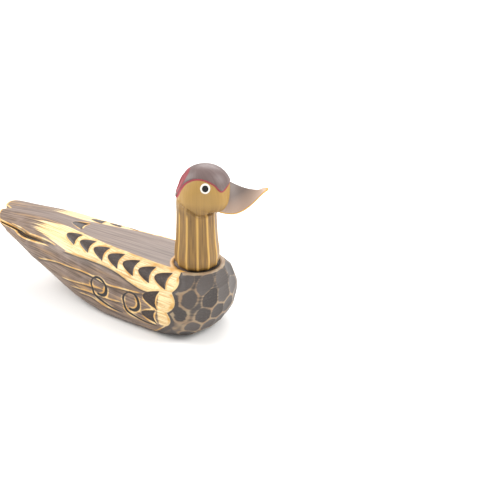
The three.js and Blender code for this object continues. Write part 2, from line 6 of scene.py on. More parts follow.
import bpy
import numpy as np
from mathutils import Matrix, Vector


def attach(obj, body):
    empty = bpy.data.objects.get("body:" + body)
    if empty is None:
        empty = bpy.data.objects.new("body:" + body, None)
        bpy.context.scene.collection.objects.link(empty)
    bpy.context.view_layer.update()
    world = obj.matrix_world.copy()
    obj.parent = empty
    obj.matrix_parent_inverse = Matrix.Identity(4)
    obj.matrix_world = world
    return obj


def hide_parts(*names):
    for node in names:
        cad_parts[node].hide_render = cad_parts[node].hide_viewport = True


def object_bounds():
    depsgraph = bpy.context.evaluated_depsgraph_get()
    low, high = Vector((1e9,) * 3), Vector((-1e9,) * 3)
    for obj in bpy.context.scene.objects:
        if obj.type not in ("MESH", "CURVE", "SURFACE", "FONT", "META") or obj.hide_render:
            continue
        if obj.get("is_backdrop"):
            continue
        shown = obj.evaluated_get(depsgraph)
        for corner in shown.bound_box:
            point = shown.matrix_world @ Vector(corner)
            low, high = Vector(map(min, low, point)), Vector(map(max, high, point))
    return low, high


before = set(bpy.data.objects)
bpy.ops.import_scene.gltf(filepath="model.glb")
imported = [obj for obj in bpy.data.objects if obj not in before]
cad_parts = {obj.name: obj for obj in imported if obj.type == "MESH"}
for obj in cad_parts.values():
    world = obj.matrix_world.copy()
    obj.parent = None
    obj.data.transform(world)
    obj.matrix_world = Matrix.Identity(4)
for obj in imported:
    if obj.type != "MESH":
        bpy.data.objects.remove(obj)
cad_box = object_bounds()

# The body. One block of light, close-grained wood, roughed out with a knife, its feathers
# cut with a gouge and a V-tool. It was stained dark brown and rubbed back, so the edges
# and scales show cream. It stands on its flat underside. Sizes are in millimetres.
MM = 0.001
STATIONS = [0, 50, 100, 150, 203]
BACK_Z = [58, 58.4, 57.8, 57.6, 52.4]
HALF_WIDTH = [41, 39.6, 36.7, 32.6, 25.5]
WIDEST_Z = [29, 29, 37, 43.5, 46.5]
SHOULDER_TILT = [40, 26, 14, 13, 6]
PANEL_STATIONS = [0, 35, 65, 95, 125, 203]
PANEL_HALF = [21.8, 20.9, 18.2, 13.5, 8.5, 4]
LIFT_STATIONS = [76, 100, 150, 203]
LIFT_Z = [0, 4.6, 24, 42]
FOOT_STATIONS = [11, 21, 50, 100, 150, 203]
FOOT_HALF = [25, 25, 25.6, 23, 13, 9]
FOOT_ARC_BACK = 21
FOOT_ARC_RADIUS = 25
BREAST_REACH = 26.5
BREAST_WIDEST_Z = 33
BREAST_WRAP = 54
PANEL_CROWN = 0.5
TAIL_START = 150
TAIL_LENGTH = 203
LOBE_TIP = 204.5
LOBE_ROUNDING = 17.5
LOBE_SHOULDER = 7
LOBE_POWER = 2.6
NOTCH_HALF = 4.5
NOTCH_DEPTH = 8
LOWER_TIP = 200
LOWER_ROUNDING = 13
LOWER_POWER = 2.5
LOBE_THICKNESS = 5.5
LOBE_STEP = 0.3
TAIL_SKEW = 9


def ease(low, high, value):
    t = np.clip((value - low) / (high - low), 0, 1)
    return t * t * (3 - 2 * t)


def along(place, stations, values):
    """A smooth curve through one value at each station."""
    stations = np.asarray(stations, float)
    values = np.asarray(values, float)
    place = np.clip(place, stations[0], stations[-1])
    i = np.clip(np.searchsorted(stations, place, side="right") - 1, 0, len(stations) - 2)
    step = np.diff(stations)
    slope = np.diff(values) / step
    middle = (slope[:-1] * step[1:] + slope[1:] * step[:-1]) / (step[:-1] + step[1:])
    tangent = np.concatenate([slope[:1], middle, slope[-1:]])
    span = step[i]
    t = (place - stations[i]) / span
    return (
        values[i] * (1 + 2 * t) * (1 - t) ** 2
        + tangent[i] * span * t * (1 - t) ** 2
        + values[i + 1] * t * t * (3 - 2 * t)
        - tangent[i + 1] * span * t * t * (1 - t)
    )


def foot_half(back):
    arc = np.sqrt(FOOT_ARC_RADIUS**2 - (FOOT_ARC_BACK - np.minimum(back, FOOT_ARC_BACK)) ** 2)
    return np.where(back < FOOT_ARC_BACK, arc, along(back, FOOT_STATIONS, FOOT_HALF))


def lift_z(back):
    return np.where(back > LIFT_STATIONS[0], along(back, LIFT_STATIONS, LIFT_Z), 0.0)


def tail_carved(x, sideways, z, side, upper):
    """Draws the straight tail out to the lobes, the notch and the layer under them."""
    back = -x
    half = HALF_WIDTH[-1]
    outward = np.clip((sideways - LOBE_SHOULDER) / (half - LOBE_SHOULDER), 0, 1)
    lobe = LOBE_TIP - LOBE_ROUNDING * outward**LOBE_POWER
    notch = LOBE_TIP - NOTCH_DEPTH * (1 - sideways / NOTCH_HALF)
    end = np.where(sideways < NOTCH_HALF, notch, lobe)
    under = LOWER_TIP - LOWER_ROUNDING * (np.clip(sideways, 0, None) / half) ** LOWER_POWER
    end = np.where(upper, end, under)
    share = np.clip((back - TAIL_START) / (TAIL_LENGTH - TAIL_START), 0, None)
    skew = TAIL_SKEW * share**2 * side * sideways / half
    drawn = np.where(back > TAIL_START, TAIL_START + share * (end - TAIL_START) + skew, back)
    return np.stack(np.broadcast_arrays(-drawn, side * sideways, z), -1)


def side_skin(back, fall, side):
    """Points of a side. back runs from the tail (203) to the neck (0) and on round the
    breast (-54); fall is 0 at the rim of the back panel, 1 at the widest line, 2 below."""
    back, fall = np.broadcast_arrays(np.asarray(back, float), np.asarray(fall, float))
    behind = np.maximum(back, 0)
    panel = along(behind, PANEL_STATIONS, PANEL_HALF)
    top = along(behind, STATIONS, BACK_Z)
    half = along(behind, STATIONS, HALF_WIDTH)
    widest = along(behind, STATIONS, WIDEST_Z)
    tilt = np.radians(along(behind, STATIONS, SHOULDER_TILT))
    low = lift_z(behind)
    front = back < 0
    turn = np.where(front, 1 + back / BREAST_WRAP, 1) * math.pi / 2
    share = np.sin(turn) ** 2
    round_half = BREAST_REACH * half / np.hypot(half * np.cos(turn), BREAST_REACH * np.sin(turn))
    half = np.where(front, round_half, half)
    widest = widest * share + BREAST_WIDEST_Z * (1 - share)
    upper = tilt + np.clip(fall, 0, 1) * (math.pi / 2 - tilt)
    lower = np.clip(fall - 1, 0, 1) * math.pi / 2
    out = (np.sin(upper) - np.sin(tilt)) / (1 - np.sin(tilt))
    inward = 1 - np.cos(lower)
    reach = panel + (half - panel) * out
    above = widest + (top - widest) * np.cos(upper) / np.cos(tilt)
    below = low + (widest - low) * (1 - np.sin(lower))
    z = np.where(fall <= 1, above, below)
    arc = math.acos(FOOT_ARC_BACK / FOOT_ARC_RADIUS) * turn / (math.pi / 2)
    foot_x = np.where(front, FOOT_ARC_RADIUS * np.cos(arc) - FOOT_ARC_BACK, 0)
    foot_y = np.where(front, FOOT_ARC_RADIUS * np.sin(arc), foot_half(behind))
    x = reach * np.cos(turn) * (1 - inward) + foot_x * inward
    y = reach * np.sin(turn) * (1 - inward) + foot_y * inward
    return tail_carved(np.where(front, x, -back), y, z, side, fall <= 1)


FALLS = np.concatenate([np.linspace(0, 1, 57), np.linspace(1, 2, 57)[1:]])
BACKS = np.concatenate([np.linspace(203, 130, 74), np.linspace(130, 0, 187)[1:]])
FRONTS = np.linspace(0, -BREAST_WRAP, 64)[1:]


def skin_spot(back, down, side):
    """One point of the side and its outward direction, `down` mm below the rim."""
    def spot(b, d):
        line = side_skin(b, FALLS, side)
        length = np.concatenate([[0], np.cumsum(np.linalg.norm(np.diff(line, axis=0), axis=1))])
        return np.array([np.interp(d, length, line[:, k]) for k in range(3)])
    reach = 0.4
    lengthways = spot(back + reach, down) - spot(back - reach, down)
    downwards = spot(back, down + reach) - spot(back, max(down - reach, 0))
    out = np.cross(lengthways, downwards) * -side
    return spot(back, down), out / np.linalg.norm(out)


def grid_quads(index, turned):
    a, b, c, d = index[:-1, :-1], index[1:, :-1], index[1:, 1:], index[:-1, 1:]
    order = (a, d, c, b) if turned else (a, b, c, d)
    return np.stack([k.ravel() for k in order], -1)


class Skin:
    """Collects grids of points with their carving coordinates, and joins their seams."""

    def __init__(self):
        self.points, self.faces, self.facts, self.count = [], [], [], 0

    def grid(self, points, turned, back, down, out, place, share):
        index = np.arange(points.shape[0] * points.shape[1]).reshape(points.shape[:2])
        self.faces.append(grid_quads(index + self.count, turned))
        self.points.append(points.reshape(-1, 3))
        columns = [np.broadcast_to(v, index.shape).ravel() for v in (back, down, place, share)]
        out = np.broadcast_to(out, points.shape).reshape(-1, 3)
        self.facts.append(np.column_stack([*columns, out]))
        self.count += index.size

    def joined(self):
        points, facts = np.concatenate(self.points), np.concatenate(self.facts)
        key = np.round(points * 1000).astype(np.int64)
        _, first, where = np.unique(key, axis=0, return_index=True, return_inverse=True)
        faces = where.ravel()[np.concatenate(self.faces)]
        kept = []
        for face in faces.tolist():
            corners = [v for k, v in enumerate(face) if v != face[k - 1]]
            if len(corners) > 2:
                kept.append(corners)
        return points[first], facts[first], kept


SIDE, PANEL, SOLE, END = 0, 1, 2, 3
skin = Skin()
for side in (-1, 1):
    columns = np.concatenate([BACKS, FRONTS])
    points = side_skin(columns[:, None], FALLS[None, :], side)
    steps = np.linalg.norm(np.diff(points, axis=1), axis=2)
    down = np.concatenate([np.zeros((len(columns), 1)), np.cumsum(steps, axis=1)], axis=1)
    out = np.cross(np.gradient(points, axis=0), np.gradient(points, axis=1)) * side
    out /= np.linalg.norm(out, axis=2, keepdims=True)
    skin.grid(points, side < 0, columns[:, None], down, out, SIDE, side)

across = np.linspace(-1, 1, 33)
sign = np.where(across < 0, -1, 1)
crown = PANEL_CROWN * (1 - across**2)
panel_half = along(BACKS, PANEL_STATIONS, PANEL_HALF)[:, None]
top_z = along(BACKS, STATIONS, BACK_Z)[:, None] + crown
points = tail_carved(-BACKS[:, None], panel_half * np.abs(across), top_z, sign, True)
inset = -panel_half * (1 - np.abs(across))
skin.grid(points, False, BACKS[:, None], inset, (0, 0, 1), PANEL, across)
foot, lift = foot_half(BACKS)[:, None], lift_z(BACKS)[:, None]
points = tail_carved(-BACKS[:, None], foot * np.abs(across), lift, sign, False)
skin.grid(points, True, BACKS[:, None], 90, (0, 0, -1), SOLE, across)
for side in (-1, 1):
    spokes = np.concatenate([[0], FRONTS])
    for fall, zone in ((0, PANEL), (2, SOLE)):
        rim = side_skin(spokes, fall, side)[:, None, :]
        rings = np.linspace(0, 1, 17)[None, :, None]
        rise = PANEL_CROWN * (1 - rings**2) if zone == PANEL else 0 * rings
        points = rim * [1, 1, 0] * rings + (rim + rise) * [0, 0, 1]
        inset = -np.linalg.norm(rim * [1, 1, 0], axis=2) * (1 - rings[..., 0])
        depth = inset if zone == PANEL else 90
        out = (0, 0, 1) if zone == PANEL else (0, 0, -1)
        turned = (side < 0) == (zone == PANEL)
        skin.grid(points, turned, spokes[:, None], depth, out, zone, side * rings[..., 0])

# Tail end: the edge of the lobes, the step under it, and the end of the lower layer.
upper_falls, lower_falls = FALLS[:57], FALLS[:55:-1]
lines = []
for falls, half_width, height, upper in (
    (upper_falls, panel_half[0], top_z[0], True), (lower_falls, foot[0], lift[0], False)
):
    middle = tail_carved(-TAIL_LENGTH, half_width * np.abs(across), height + 0 * across, sign, upper)
    lines.append(np.concatenate([
        side_skin(TAIL_LENGTH, falls[::-1], -1), middle[1:-1], side_skin(TAIL_LENGTH, falls, 1)
    ]))
upper_line, lower_line = lines
halfway = (upper_line[:, 2] + lower_line[:, 2]) / 2
step_up = upper_line.copy()
step_up[:, 2] = np.maximum(upper_line[:, 2] - LOBE_THICKNESS, halfway)
step_in = step_up.copy()
step_in[:, 0] = lower_line[:, 0]
step_in[:, 2] -= LOBE_STEP
for line in (step_up, step_in):
    line[[0, -1]] = upper_line[[0, -1]]
rows = [upper_line]
for start, end, steps in (
    (upper_line, step_up, 8), (step_up, step_in, 5), (step_in, lower_line, 10)
):
    rows.extend(start + (end - start) * k / steps for k in range(1, steps + 1))
skin.grid(np.stack(rows), True, 210, 200, (-1, 0, 0), END, 0)

points, facts, faces = skin.joined()
back, down, zone, across_share = facts[:, :4].T
out = facts[:, 4:]
on_side = zone == SIDE

# Knife and V-tool work on the side. Each long feather's lower edge stands over the next
# feather; paths are millimetres behind the neck and down from the rim.
FEATHER_EDGES = [
    {"path": [(13, 23.4), (26, 24.6), (46, 21.4), (57, 19.0), (71, 18.4), (86, 20), (103, 22.2), (116, 24.5)], "drop": 0.55},
    {"path": [(24, 27.8), (36, 29.4), (49, 30.9), (62, 32.5), (77, 31.3), (90, 31.9), (102, 33.6), (116, 35.6), (142, 42.6)], "drop": 0.9},
    {"path": [(64, 38.2), (83, 42), (96, 45.2), (108, 48.2), (118, 49.4)], "drop": 0.7},
    {"path": [(44, 42.2), (56, 44.6), (66, 45.9), (81, 48), (97, 51.8), (108, 54.6)], "drop": 0.8},
    {"path": [(50, 55.6), (70, 55.4), (80, 53), (90, 54.6), (100, 57)], "drop": 0.6},
    {"path": [(118, 23.6), (133, 22.4), (155, 22.2), (172, 20.2), (190, 18.8)], "drop": 0.35},
]
FEATHER_RAMP = 8
LOBE_CUT = [(124, 24), (148, 25.1), (164, 25), (180, 24.4), (190, 23.6), (204, 22.4)]
LOBE_CUT_WIDTH = 5.4
LOBE_CUT_DEPTH = 4.4
BIG_SCALES = [(11.5, -3.4), (27, -4.6), (42.5, -1.4)]
SCALLOP_HALF = 7.7
SCALLOP_BULGE = 4
SCALLOP_STEP = 0.9
FLAT_ROWS = [
    (8.5, (-76, -40, 0, 40, 76)),
    (21.5, (-66, -33, 0, 33, 66)),
    (35, (-76, -46, -15, 15, 46, 76)),
    (48, (-62, -31, 0, 31, 62)),
    (60, (-72, -42, -14, 14, 42, 72)),
]
FLAT_DEPTH = 1.25
FLAT_HOLLOW_RADIUS = 75
FLAT_REACH = 16
SEAT_RADIUS = 18.9
SEAT_DEPTH = 1.6

relief = np.zeros(len(points))
rubbed = np.zeros(len(points))
shadowed = np.zeros(len(points))


def below_path(path, fade=8):
    """Millimetres below a path on the side, and how fully it is cut near its ends."""
    at, depth = np.array(path, float).T
    line = along(back, at, depth)
    slope = (along(back + 0.5, at, depth) - along(back - 0.5, at, depth))
    taper = ease(at[0], at[0] + fade, back) * (1 - ease(at[-1] - fade, at[-1], back))
    return (down - line) / np.hypot(1, slope), taper * on_side


for edge in FEATHER_EDGES:
    below, taper = below_path(edge["path"])
    ramp = np.clip(1 - below / FEATHER_RAMP, 0, 1) ** 1.5
    relief -= edge["drop"] * taper * ease(-0.4, 0.4, below) * ramp
    # Each edge gets a rubbed pale line just above it, and painted shade along the foot of the step just below it
    # (shadowed).
    rubbed = np.maximum(rubbed, taper * np.exp(-(((below + 0.9) / 0.8) ** 2)))
    shadowed = np.maximum(shadowed, taper * np.exp(-(((below - 0.7) / 0.8) ** 2)))

below, _ = below_path(LOBE_CUT)
width = LOBE_CUT_WIDTH * np.sqrt(ease(122, 175, back)) * ease(122, 130, back) + 0.01
across_cut = below / width + 0.5
profile = ease(0, 0.25, across_cut) * (1 - ease(0.3, 1, across_cut))
relief -= LOBE_CUT_DEPTH * profile * (width / LOBE_CUT_WIDTH) * on_side
# The groove's profile also marks where shade is painted into the lobe groove.
lobe_groove_shade = profile * ease(122, 150, back) * on_side

# The front of the three big scales, and the flats left by the knife on the breast.
lobes = [front + SCALLOP_BULGE * ((down - at) / SCALLOP_HALF) ** 2 for at, front in BIG_SCALES]
scallop = np.minimum.reduce(lobes)
scallop = np.where(down < 4, 0.4 - 0.25 * down, scallop)
scallop = np.where(down > 50, 2.6 + 1.1 * (down - 50), scallop)
breast = np.where(on_side, scallop - back, np.where(zone == PANEL, -back - 3, -20))
relief -= SCALLOP_STEP * on_side * ease(-0.4, 0.4, breast) * np.clip(1 - breast / 7, 0, 1) ** 1.2
flat_tone = np.full(len(points), 0.5)
deepest = np.zeros(len(points))
tones = np.random.default_rng(7)
for row_down, angles in FLAT_ROWS:
    for degrees in angles:
        flat_side = -1 if degrees < 0 else 1
        centre, facing = skin_spot(-BREAST_WRAP * (1 - abs(degrees) / 90), row_down, flat_side)
        away = points - centre
        height = away @ facing
        aside = np.sum(away**2, axis=1) - height**2
        proud = height + FLAT_DEPTH - aside / (2 * FLAT_HOLLOW_RADIUS)
        proud *= (aside < FLAT_REACH**2) * on_side
        tone = tones.uniform(0, 1)
        flat_tone = np.where(proud > deepest, tone, flat_tone)
        deepest = np.maximum(deepest, proud / np.clip(out @ facing, 0.5, 1))
relief -= deepest * ease(0, 1.2, breast)
for low, start, end in ((19.2, 0, 12), (35, 0, 12)):
    groove = np.clip(1 - np.abs(down - low - 0.15 * back) / 1.1, 0, 1)
    relief -= 0.7 * groove * on_side * ease(start - 3, start, back) * (1 - ease(8, end, back))

points += out * relief[:, None]

# The round seat for the neck. Points near its edge are drawn onto the circle.
radius = np.hypot(points[:, 0], points[:, 1])
near_edge = np.abs(radius - SEAT_RADIUS)
drawn = np.interp(near_edge, [0, 0.5, 2], [0, 0.02, 2])
new_radius = SEAT_RADIUS + np.sign(radius - SEAT_RADIUS) * drawn
on_top = (zone == PANEL) | (on_side & (down < 3))
scale = np.where(on_top & (near_edge < 2), new_radius / np.maximum(radius, 1e-6), 1)
points[:, :2] *= scale[:, None]
in_seat = on_top & (radius < SEAT_RADIUS)
points[in_seat, 2] = BACK_Z[0] - SEAT_DEPTH


def mesh_object(name, points, faces):
    mesh = bpy.data.meshes.new(name)
    mesh.from_pydata((points * MM).tolist(), [], faces)
    piece = bpy.data.objects.new(name, mesh)
    bpy.context.scene.collection.objects.link(piece)
    return piece


def keep(piece, name, values):
    """Stores one value, or one vector, for each point of a piece."""
    values = np.asarray(values, np.float32)
    kind, field = ("FLOAT", "value") if values.ndim == 1 else ("FLOAT_VECTOR", "vector")
    attribute = piece.data.attributes.new(name, kind, "POINT")
    attribute.data.foreach_set(field, values.ravel())


def kept(piece, name):
    attribute = piece.data.attributes[name]
    width = 1 if attribute.data_type == "FLOAT" else 3
    values = np.empty(len(attribute.data) * width, np.float32)
    attribute.data.foreach_get("value" if width == 1 else "vector", values)
    return values if width == 1 else values.reshape(-1, 3)


body = mesh_object("carved_body", points, faces)
side_sign = np.sign(across_share)
keep(body, "back", back)
keep(body, "down", np.where(on_side, down, 99))
keep(body, "panel_across", np.where(zone == PANEL, points[:, 1], 99))
keep(body, "out", out)
keep(body, "skin", points * MM)
keep(body, "lay", np.column_stack([back, np.where(zone == SOLE, points[:, 1], down), side_sign]))


def add(tree, kind, inputs=(), out=0, **settings):
    """Adds a node, sets it, fills or links its inputs, and returns one of its outputs."""
    node = tree.nodes.new(kind)
    for name, value in settings.items():
        setattr(node, name, value)
    pairs = inputs.items() if isinstance(inputs, dict) else enumerate(inputs)
    for key, value in pairs:
        if isinstance(value, bpy.types.NodeSocket):
            tree.links.new(value, node.inputs[key])
        elif value is not None:
            node.inputs[key].default_value = value
    return node.outputs[out]


def geometry_tree(name, sockets):
    """An empty Geometry Nodes tree with named inputs, and the group's input sockets."""
    tree = bpy.data.node_groups.new(name, "GeometryNodeTree")
    tree.interface.new_socket("Geometry", in_out="INPUT", socket_type="NodeSocketGeometry")
    for label, kind in sockets.items():
        tree.interface.new_socket(label, in_out="INPUT", socket_type=kind)
    tree.interface.new_socket("Geometry", in_out="OUTPUT", socket_type="NodeSocketGeometry")
    start = tree.nodes.new("NodeGroupInput")
    return tree, {socket.name: socket for socket in start.outputs if socket.name}


def run_tree(piece, tree, values):
    """Puts a tree on a piece with values for its named inputs, and makes the result its mesh."""
    modifier = piece.modifiers.new(tree.name, "NODES")
    modifier.node_group = tree
    for item in tree.interface.items_tree:
        if item.in_out == "INPUT" and item.name in values:
            modifier[item.identifier] = values[item.name]
    evaluated = piece.evaluated_get(bpy.context.evaluated_depsgraph_get())
    mesh = bpy.data.meshes.new_from_object(evaluated)
    piece.modifiers.remove(modifier)
    piece.data = mesh


# A row of gouge cuts. One cut lies at each step of the pitch: a rounded point towards the
# tail, and a hollow front where the round tip of the next scale stands over it.
FLOAT = "NodeSocketFloat"
GOUGE_INPUTS = ["First", "Pitch", "Count", "Length", "Bite", "Half first", "Half last",
                "Down first", "Down last", "Depth", "Tip depth"]
gouge_tree, g = geometry_tree(
    "gouge_cuts", {"Across": "NodeSocketString", **{name: FLOAT for name in GOUGE_INPUTS}}
)


def sum_up(tree, operation, *terms):
    return add(tree, "ShaderNodeMath", terms, operation=operation)


t = gouge_tree
at = add(t, "GeometryNodeInputNamedAttribute", ["back"], data_type="FLOAT")
aside = add(t, "GeometryNodeInputNamedAttribute", [g["Across"]], data_type="FLOAT")
step = sum_up(t, "FLOOR", sum_up(t, "DIVIDE", sum_up(t, "SUBTRACT", at, g["First"]), g["Pitch"]))
step = sum_up(t, "MAXIMUM", step, 0.0)
last = sum_up(t, "SUBTRACT", g["Count"], 1.0)
step = sum_up(t, "MINIMUM", step, last)
u = sum_up(t, "SUBTRACT", sum_up(t, "SUBTRACT", at, g["First"]), sum_up(t, "MULTIPLY", step, g["Pitch"]))
share = sum_up(t, "DIVIDE", step, sum_up(t, "MAXIMUM", last, 1.0))
half = add(t, "ShaderNodeMapRange", [share, 0.0, 1.0, g["Half first"], g["Half last"]])
centre = add(t, "ShaderNodeMapRange", [share, 0.0, 1.0, g["Down first"], g["Down last"]])
v = sum_up(t, "SUBTRACT", aside, centre)
ratio = sum_up(t, "DIVIDE", v, half)
reach = sum_up(t, "ADD", g["Length"], g["Bite"])
outer = sum_up(t, "MULTIPLY", reach, sum_up(t, "SUBTRACT", 1.0, sum_up(t, "MULTIPLY", ratio, ratio)))
slope = sum_up(t, "DIVIDE", sum_up(t, "MULTIPLY", sum_up(t, "MULTIPLY", reach, 2.0), ratio), half)
slant = sum_up(t, "SQRT", sum_up(t, "MULTIPLY_ADD", slope, slope, 1.0))
tail_edge = sum_up(t, "DIVIDE", sum_up(t, "SUBTRACT", u, outer), slant)
squares = sum_up(t, "MULTIPLY_ADD", half, half, sum_up(t, "MULTIPLY", g["Bite"], g["Bite"]))
bite_radius = sum_up(t, "DIVIDE", squares, sum_up(t, "MULTIPLY", g["Bite"], 2.0))
chord = sum_up(t, "SUBTRACT", sum_up(t, "MULTIPLY", bite_radius, bite_radius), sum_up(t, "MULTIPLY", v, v))
chord = sum_up(t, "SQRT", sum_up(t, "MAXIMUM", chord, 0.0))
inner = sum_up(t, "SUBTRACT", chord, sum_up(t, "SUBTRACT", bite_radius, g["Bite"]))
edge = sum_up(t, "MAXIMUM", tail_edge, sum_up(t, "SUBTRACT", inner, u))
length = sum_up(t, "MAXIMUM", sum_up(t, "SUBTRACT", outer, inner), 0.1)
way = sum_up(t, "DIVIDE", sum_up(t, "SUBTRACT", u, inner), length)
depth = add(t, "ShaderNodeMapRange", [way, 0.0, 1.0, g["Depth"], g["Tip depth"]])
inside = add(t, "ShaderNodeMapRange", [edge, -0.6, 0.05, 1.0, 0.0], interpolation_type="SMOOTHSTEP")
cut = sum_up(t, "MULTIPLY", sum_up(t, "MULTIPLY", depth, inside), -MM)
facing = add(t, "GeometryNodeInputNamedAttribute", ["out"], data_type="FLOAT_VECTOR")
offset = add(t, "ShaderNodeVectorMath", {0: facing, "Scale": cut}, operation="SCALE")
moved = add(t, "GeometryNodeSetPosition", {"Geometry": g["Geometry"], "Offset": offset})
known = add(t, "GeometryNodeInputNamedAttribute", ["gouge_edge"], data_type="FLOAT")
nearest = sum_up(t, "MINIMUM", known, edge)
stored = add(t, "GeometryNodeStoreNamedAttribute",
             {"Geometry": moved, "Name": "gouge_edge", "Value": nearest}, data_type="FLOAT", domain="POINT")
add_out = t.nodes.new("NodeGroupOutput")
t.links.new(add(t, "GeometryNodeRealizeInstances", [stored]), add_out.inputs[0])


GOUGES = [
    {"Across": "down", "First": 5.8, "Pitch": 16.7, "Count": 7.0, "Length": 12.0, "Bite": 2.8,
     "Half first": 8.0, "Half last": 7.0, "Down first": 10.6, "Down last": 7.6,
     "Depth": 2.3, "Tip depth": 0.35},
    {"Across": "down", "First": 10.5, "Pitch": 99.0, "Count": 1.0, "Length": 12.4, "Bite": 3.2,
     "Half first": 8.2, "Half last": 8.2, "Down first": 28.6, "Down last": 28.6,
     "Depth": 2.3, "Tip depth": 0.35},
    {"Across": "down", "First": 12.5, "Pitch": 99.0, "Count": 1.0, "Length": 12.0, "Bite": 2.8,
     "Half first": 6.8, "Half last": 6.8, "Down first": 44.6, "Down last": 44.6,
     "Depth": 2.1, "Tip depth": 0.35},
    {"Across": "panel_across", "First": 113.0, "Pitch": 99.0, "Count": 1.0, "Length": 12.0,
     "Bite": 2.8, "Half first": 6.2, "Half last": 6.2, "Down first": 0.0, "Down last": 0.0,
     "Depth": 1.8, "Tip depth": 0.3},
]
keep(body, "gouge_edge", np.full(len(points), 30.0))
for sizes in GOUGES:
    run_tree(body, gouge_tree, sizes)

# V-tool lines that follow a path on the skin, as wide at each point as the path's radius.
line_tree, g = geometry_tree(
    "v_tool_line", {"Path": "NodeSocketObject", "Steepness": FLOAT, "Edge name": "NodeSocketString"}
)
t = line_tree
info = add(t, "GeometryNodeObjectInfo", [g["Path"]], out="Geometry")
spot = add(t, "GeometryNodeInputNamedAttribute", ["skin"], data_type="FLOAT_VECTOR")
distance = add(t, "GeometryNodeProximity", {0: info, "Sample Position": spot}, out="Distance",
               target_element="EDGES")
index = add(t, "GeometryNodeSampleNearest", {"Geometry": info, "Sample Position": spot})
width = add(t, "GeometryNodeInputNamedAttribute", ["line_half"], data_type="FLOAT")
half = add(t, "GeometryNodeSampleIndex", {"Geometry": info, "Value": width, "Index": index})
edge = sum_up(t, "SUBTRACT", distance, half)
inside = sum_up(t, "MINIMUM", edge, 0.0)
facing = add(t, "GeometryNodeInputNamedAttribute", ["out"], data_type="FLOAT_VECTOR")
offset = add(t, "ShaderNodeVectorMath",
             {0: facing, "Scale": sum_up(t, "MULTIPLY", inside, g["Steepness"])}, operation="SCALE")
moved = add(t, "GeometryNodeSetPosition", {"Geometry": g["Geometry"], "Offset": offset})
known = add(t, "GeometryNodeInputNamedAttribute", [g["Edge name"]], data_type="FLOAT")
nearest = sum_up(t, "MINIMUM", known, sum_up(t, "DIVIDE", edge, MM))
stored = add(t, "GeometryNodeStoreNamedAttribute",
             {"Geometry": moved, "Name": g["Edge name"], "Value": nearest},
             data_type="FLOAT", domain="POINT")
add_out = t.nodes.new("NodeGroupOutput")
t.links.new(add(t, "GeometryNodeRealizeInstances", [stored]), add_out.inputs[0])


def smooth_path(knots, step=0.15):
    """Points along a smooth curve through the knots, each knot a row of numbers."""
    knots = np.array(knots, float)
    gaps = np.linalg.norm(np.diff(knots[:, :2], axis=0), axis=1)
    far = np.concatenate([[0], np.cumsum(gaps)])
    at = np.arange(0, far[-1], step)
    return np.column_stack([along(at, far, knots[:, k]) for k in range(knots.shape[1])])


def skin_path(name, rows, side):
    """A path object on the skin, from rows of back, down and half width."""
    spots = np.array([skin_spot(b, d, side)[0] for b, d, _ in rows]) * MM
    mesh = bpy.data.meshes.new(name)
    mesh.from_pydata(spots.tolist(), [(k, k + 1) for k in range(len(spots) - 1)], [])
    path = bpy.data.objects.new(name, mesh)
    bpy.context.scene.collection.objects.link(path)
    keep(path, "line_half", rows[:, 2] * MM)
    return path


# The engraved curls: a loop, thick where the tool pressed, and a long thinning stem.
CURLS = [(71.5, 37.2), (37.5, 37.8)]
CURL_ACROSS = 8.0
CURL_HEIGHT = 7.6
CURL_STEM = [(5.5, 10.2, 1.3), (-3, 13.6, 1.1), (-13, 15.5, 0.85), (-24, 15.4, 0.5)]
keep(body, "curl_edge", np.full(len(points), 30.0))
for side in (-1, 1):
    for at, depth in CURLS:
        loop = []
        for degrees in range(80, 386, 20):
            angle = math.radians(degrees)
            press = 0.9 + 0.75 * math.exp(-(((degrees - 150) / 70) ** 2))
            loop.append((at + CURL_ACROSS * math.cos(angle), depth + CURL_HEIGHT * math.sin(angle), press))
        stem = [(at + a, depth + d, half) for a, d, half in CURL_STEM]
        path = skin_path("curl_path", smooth_path(loop + stem, 0.8), side)
        run_tree(body, line_tree, {"Path": path, "Steepness": 0.9, "Edge name": "curl_edge"})
        bpy.data.objects.remove(path)

# Brushed grain: shallow furrows along the feathers, finer than the carving.
GRAIN_DEPTH = 0.16
grain_tree, g = geometry_tree(
    "brushed_grain", {"Depth": FLOAT, "Along": FLOAT, "Across": FLOAT, "Seed": FLOAT}
)
t = grain_tree
lay = add(t, "GeometryNodeInputNamedAttribute", ["lay"], data_type="FLOAT_VECTOR")
inverse = add(t, "ShaderNodeCombineXYZ",
              [sum_up(t, "DIVIDE", 1.0, g["Along"]), sum_up(t, "DIVIDE", 1.0, g["Across"]), 9.0])
spread = add(t, "ShaderNodeVectorMath", [lay, inverse], operation="MULTIPLY")
streak = add(t, "ShaderNodeTexNoise", {"Vector": spread, "W": g["Seed"], "Scale": 1.0, "Detail": 3.0},
             noise_dimensions="4D")
furrow = sum_up(t, "MULTIPLY", sum_up(t, "SUBTRACT", streak, 0.5), sum_up(t, "MULTIPLY", g["Depth"], MM))
facing = add(t, "GeometryNodeInputNamedAttribute", ["out"], data_type="FLOAT_VECTOR")
offset = add(t, "ShaderNodeVectorMath", {0: facing, "Scale": furrow}, operation="SCALE")
moved = add(t, "GeometryNodeSetPosition", {"Geometry": g["Geometry"], "Offset": offset})
add_out = t.nodes.new("NodeGroupOutput")
t.links.new(add(t, "GeometryNodeRealizeInstances", [moved]), add_out.inputs[0])
run_tree(body, grain_tree, {"Depth": GRAIN_DEPTH, "Along": 30.0, "Across": 1.6, "Seed": 3.0})


